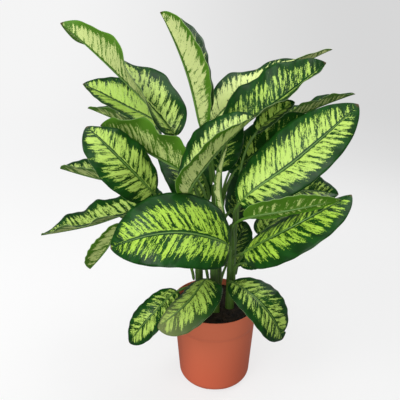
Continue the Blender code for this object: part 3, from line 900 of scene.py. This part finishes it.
def build_pot(settings):
    """The turned shell, with its drain notches cut out."""
    mesh = bpy.data.meshes.new("pot_shell")
    outline = pot_outline()
    lines = [(i, i + 1) for i in range(len(outline) - 1)]
    mesh.from_pydata([(radius, 0, height) for radius, height in outline], lines, [])
    pot = add_object("pot_shell", mesh, [terracotta_plastic(settings)])
    screw = pot.modifiers.new("Turn", "SCREW")
    screw.steps = screw.render_steps = settings.steps
    screw.use_merge_vertices = True
    screw.merge_threshold = 0.00001
    screw.use_smooth_shade = True
    for number in range(NOTCHES):
        angle = math.tau * number / NOTCHES - math.pi / 2
        middle = WALL_FOOT_RADIUS * 0.86
        bpy.ops.mesh.primitive_cube_add(
            size=1,
            location=(middle * math.cos(angle), middle * math.sin(angle), 0),
            rotation=(0, 0, angle),
            scale=(WALL_FOOT_RADIUS * 0.6, NOTCH_WIDTH, NOTCH_HEIGHT * 2),
        )
        cutter = bpy.context.object
        cutter.name = f"notch_{number}"
        cutter.hide_render = cutter.hide_viewport = True
        boolean = pot.modifiers.new(cutter.name, "BOOLEAN")
        boolean.operation = "DIFFERENCE"
        boolean.object = cutter
    sharp = pot.modifiers.new("Corners", "EDGE_SPLIT")
    sharp.split_angle = math.radians(SPLIT_ANGLE)
    finish_piece(pot, "pot")


def earth_material():
    """Dark, moist, crumbly earth."""
    paint = Paint("dark_earth", roughness=0.95)
    where = paint.node("TexCoord").outputs["Object"]
    crumbs = paint.noise(where, scale=260, detail=4, roughness=0.7)
    clods = paint.noise(where, scale=60, detail=3)
    shade = paint.math("MULTIPLY", crumbs, clods)
    black, brown = (0.004, 0.0025, 0.002), (0.045, 0.024, 0.013)
    paint.colour(paint.mix(paint.ramp(shade, 0.12, 0.42), black, brown))
    paint.bump(crumbs, 0.8, 0.0015)
    return paint.material


def build_soil():
    """A body of soil with an uneven crumbly top that meets the wall."""
    radius = SOIL_HIGH.x - 0.0004
    foot_radius = radius * 0.955
    turns = [math.tau * i / SOIL_SIDES for i in range(SOIL_SIDES)]
    points, faces = [], []
    for ring in range(1, SOIL_RINGS + 1):
        share = ring / SOIL_RINGS
        for angle in turns:
            x, y = radius * share * math.cos(angle), radius * share * math.sin(angle)
            lump = noise.fractal(Vector((x * 70, y * 70, 0.3)), 0.9, 2.1, 5)
            fade = min((1 - share) * 8, 1)
            height = SOIL_EDGE_TOP + SOIL_CROWN * (1 - share**2) + SOIL_LUMP * lump * (0.35 + 0.65 * fade)
            points.append((x, y, min(height, SOIL_HIGH.z + 0.002)))
    for ring in range(SOIL_RINGS - 1):
        low = ring * SOIL_SIDES
        for i in range(SOIL_SIDES):
            j = (i + 1) % SOIL_SIDES
            faces.append((low + i, low + SOIL_SIDES + i, low + SOIL_SIDES + j, low + j))
    faces.append(tuple(range(SOIL_SIDES)))
    rim = (SOIL_RINGS - 1) * SOIL_SIDES
    foot = len(points)
    for angle in turns:
        points.append(
            (foot_radius * math.cos(angle), foot_radius * math.sin(angle), SOIL_EDGE_TOP - SOIL_DEPTH)
        )
    for i in range(SOIL_SIDES):
        j = (i + 1) % SOIL_SIDES
        faces.append((rim + i, foot + i, foot + j, rim + j))
    faces.append(tuple(foot + i for i in range(SOIL_SIDES))[::-1])
    material = earth_material()
    soil = add_mesh("soil_body", points, faces, [material])
    finish_piece(soil, "soil")
    build_crumbs(radius, material)


def build_crumbs(radius, material):
    """Loose crumbs of soil lying on the top."""
    shape = bmesh.new()
    dice = np.random.default_rng(7)
    for _ in range(CRUMBS):
        reach = radius * 0.96 * math.sqrt(dice.random())
        angle = dice.random() * math.tau
        size = 0.0008 + 0.0018 * dice.random() ** 2
        made = bmesh.ops.create_icosphere(shape, subdivisions=1, radius=size)["verts"]
        spot = Vector((reach * math.cos(angle), reach * math.sin(angle), SOIL_EDGE_TOP + SOIL_CROWN))
        for vertex in made:
            vertex.co = vertex.co * (0.7 + 0.6 * dice.random()) + spot
    mesh = bpy.data.meshes.new("soil_crumbs")
    shape.to_mesh(mesh)
    shape.free()
    crumbs = add_object("soil_crumbs", mesh, [material])
    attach(crumbs, "root")


# ---------------------------------------------------------------- stage

CAMERA_PLACE = (-0.037, -1.02, 0.852)
CAMERA_PITCH = 20.3
SENSOR_WIDTH = 36
FOCAL_SHARE = 1.185
CLIP_START = 0.05
LIGHT_AIM = Vector((0, 0, 0.45))
# Each light's name, place, size and share of the key light's power
LIGHTS = (
    ("key", (-1.3, -1.5, 2.2), 1.2, 1.0),
    ("top", (0.4, 0.2, 2.3), 1.6, 0.6),
    ("rim", (1.2, 1.0, 1.4), 0.9, 0.25),
    ("front", (-0.5, -2.0, 0.7), 1.0, 0.45),
)
SKY_COLOUR = (0.97, 0.98, 1.0, 1)
# painted light: the backdrop's glow, brighter on the left as if the key light fell there
GLOW_REACH = 2.2
GLOW_LEFT = (0.84, 0.84, 0.84)
GLOW_RIGHT = (0.61, 0.61, 0.61)
BACKDROP_FLOOR = 4.0
BACKDROP_CURVE = 2.5
BACKDROP_HEIGHT = 7.0
BACKDROP_STEPS = 16
BACKDROP_SIDES = 96


def build_stage(settings):
    """The camera, the soft lights, the even sky and the backdrop."""
    scene = bpy.context.scene
    scene.view_settings.view_transform = "Standard"
    camera = bpy.data.objects.new("camera", bpy.data.cameras.new("camera"))
    scene.collection.objects.link(camera)
    camera.location = CAMERA_PLACE
    camera.rotation_euler = (math.radians(90 - CAMERA_PITCH), 0, 0)
    camera.data.sensor_width = SENSOR_WIDTH
    camera.data.lens = SENSOR_WIDTH * FOCAL_SHARE
    camera.data.clip_start = CLIP_START
    scene.camera = camera
    world = bpy.data.worlds.new("soft_sky")
    world.use_nodes = True
    sky = world.node_tree.nodes["Background"]
    sky.inputs["Color"].default_value = SKY_COLOUR
    sky.inputs["Strength"].default_value = settings.fill
    scene.world = world
    for name, place, size, share in LIGHTS:
        light = bpy.data.lights.new(name, "AREA")
        light.energy = settings.key_watts * share
        light.size = size
        lamp = bpy.data.objects.new(name, light)
        lamp.location = place
        aim = LIGHT_AIM - Vector(place)
        lamp.rotation_euler = aim.to_track_quat("-Z", "Y").to_euler()
        scene.collection.objects.link(lamp)
    build_backdrop()


def build_backdrop():
    """A pale round floor that curves up into a wall, so that every view has the same ground.

    It glows a little, more on the left: painted light that stands in for the key light falling brighter on
    that side. It gives the plant no light of its own.
    """
    profile = [(BACKDROP_FLOOR, 0.0)]
    for step in range(1, BACKDROP_STEPS + 1):
        angle = math.pi / 2 * step / BACKDROP_STEPS
        profile.append(
            (BACKDROP_FLOOR + BACKDROP_CURVE * math.sin(angle), BACKDROP_CURVE * (1 - math.cos(angle)))
        )
    profile.append((profile[-1][0], BACKDROP_HEIGHT))
    points, faces = [], [tuple(range(BACKDROP_SIDES))]
    for radius, height in profile:
        for i in range(BACKDROP_SIDES):
            angle = math.tau * i / BACKDROP_SIDES
            points.append((radius * math.cos(angle), radius * math.sin(angle), height))
    for ring in range(len(profile) - 1):
        low = ring * BACKDROP_SIDES
        for i in range(BACKDROP_SIDES):
            j = (i + 1) % BACKDROP_SIDES
            faces.append((low + i, low + BACKDROP_SIDES + i, low + BACKDROP_SIDES + j, low + j))
    paint = Paint("pale_backdrop", roughness=0.9, specular=0)
    paint.colour((0.22, 0.22, 0.22))
    parts = paint.node("SeparateXYZ")
    paint.link(paint.node("TexCoord").outputs["Object"], parts.inputs[0])
    # painted light: the glow fades from left to right
    glow = paint.mix(paint.ramp(parts.outputs[0], -GLOW_REACH, GLOW_REACH), GLOW_LEFT, GLOW_RIGHT)
    paint.link(glow, paint.shader.inputs["Emission Color"])
    paint.shader.inputs["Emission Strength"].default_value = 1
    backdrop = add_mesh("backdrop", points, faces, [paint.material])
    backdrop.visible_diffuse = backdrop.visible_glossy = backdrop.visible_shadow = False


# ---------------------------------------------------------------- operators


class PLANT_OT_pot(bpy.types.Operator):
    """Add the plastic pot"""

    bl_idname = "plant.pot"
    bl_label = "Pot"

    def execute(self, context):
        build_pot(context.scene.plant_pot)
        return {"FINISHED"}


class PLANT_OT_soil(bpy.types.Operator):
    """Fill the pot with soil"""

    bl_idname = "plant.soil"
    bl_label = "Soil"

    def execute(self, context):
        build_soil()
        return {"FINISHED"}


class PLANT_OT_canes(bpy.types.Operator):
    """Stand the canes in the soil"""

    bl_idname = "plant.canes"
    bl_label = "Canes"

    def execute(self, context):
        skin = stalk_skin("cane_skin", context.scene.plant_leaves, dark=0.45)
        for name, cane in CANES.items():
            build_cane(name, cane, skin)
        return {"FINISHED"}


class PLANT_OT_leaves(bpy.types.Operator):
    """Grow every leaf"""

    bl_idname = "plant.leaves"
    bl_label = "Leaves"

    def execute(self, context):
        settings = context.scene.plant_leaves
        materials = [
            leaf_top(settings),
            leaf_under(settings),
            leaf_edge_highlight(settings),
            stalk_skin("stalk_skin", settings, dark=0.7),
        ]
        for number, (name, leaf) in enumerate(LEAVES.items()):
            build_leaf(name, leaf, number, settings, materials)
        return {"FINISHED"}


class PLANT_OT_stage(bpy.types.Operator):
    """Add the floor, the lights and the camera"""

    bl_idname = "plant.stage"
    bl_label = "Stage"

    def execute(self, context):
        build_stage(context.scene.plant_stage)
        return {"FINISHED"}


class PLANT_PT_panel(bpy.types.Panel):
    """Buttons for the plant's pieces"""

    bl_idname = "PLANT_PT_panel"
    bl_label = "Potted dieffenbachia"
    bl_space_type = "VIEW_3D"
    bl_region_type = "UI"
    bl_category = "Plant"

    def draw(self, context):
        for operator in OPERATORS:
            self.layout.operator(operator.bl_idname)
        for group in (context.scene.plant_leaves, context.scene.plant_pot, context.scene.plant_stage):
            box = self.layout.box()
            for key in group.__annotations__:
                box.prop(group, key)


OPERATORS = (PLANT_OT_pot, PLANT_OT_soil, PLANT_OT_canes, PLANT_OT_leaves, PLANT_OT_stage)
CLASSES = (LeafSettings, PotSettings, StageSettings, *OPERATORS, PLANT_PT_panel)


def register():
    for made in CLASSES:
        bpy.utils.register_class(made)
    bpy.types.Scene.plant_leaves = PointerProperty(type=LeafSettings)
    bpy.types.Scene.plant_pot = PointerProperty(type=PotSettings)
    bpy.types.Scene.plant_stage = PointerProperty(type=StageSettings)


def unregister():
    del bpy.types.Scene.plant_leaves
    del bpy.types.Scene.plant_pot
    del bpy.types.Scene.plant_stage
    for made in reversed(CLASSES):
        bpy.utils.unregister_class(made)


def main():
    register()
    bpy.ops.plant.pot()
    bpy.ops.plant.soil()
    bpy.ops.plant.canes()
    bpy.ops.plant.leaves()
    bpy.ops.plant.stage()


if __name__ == "__main__":
    main()
